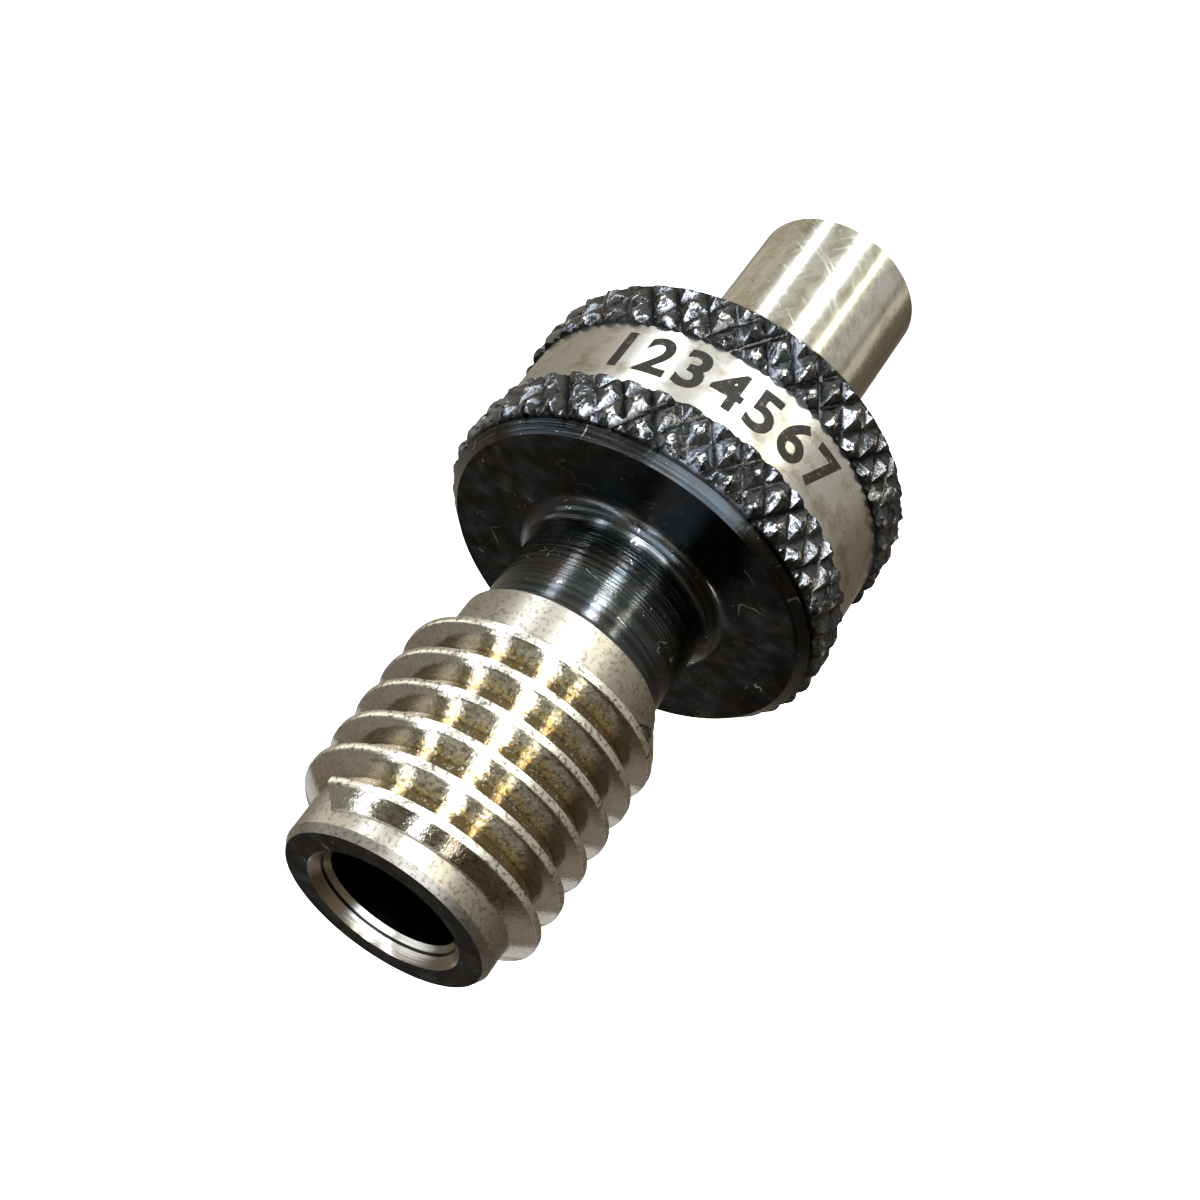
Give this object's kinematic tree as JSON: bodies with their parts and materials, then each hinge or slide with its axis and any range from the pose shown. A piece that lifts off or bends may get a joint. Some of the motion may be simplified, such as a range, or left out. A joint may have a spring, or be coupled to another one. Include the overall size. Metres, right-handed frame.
{
  "type": "thread plug gauge",
  "caption": "Thread plug gauge member: hollow-nosed threaded plug, knurled collar with a recessed marking band, plain cylindrical shank.",
  "frame": {"origin": "centre of the flat shank end, on which the part stands", "axes": "+Z along the part's axis, from the shank end to the threaded nose; the pictured side faces -Y"},
  "size_m": [0.016, 0.016, 0.0346],
  "materials": {
    "gauge_steel": "black oxide steel, with the thread, countersink, marking band and shank ground bright"
  },
  "bodies": {
    "root": {"gauge_body": "gauge_steel"}
  },
  "joints": []
}
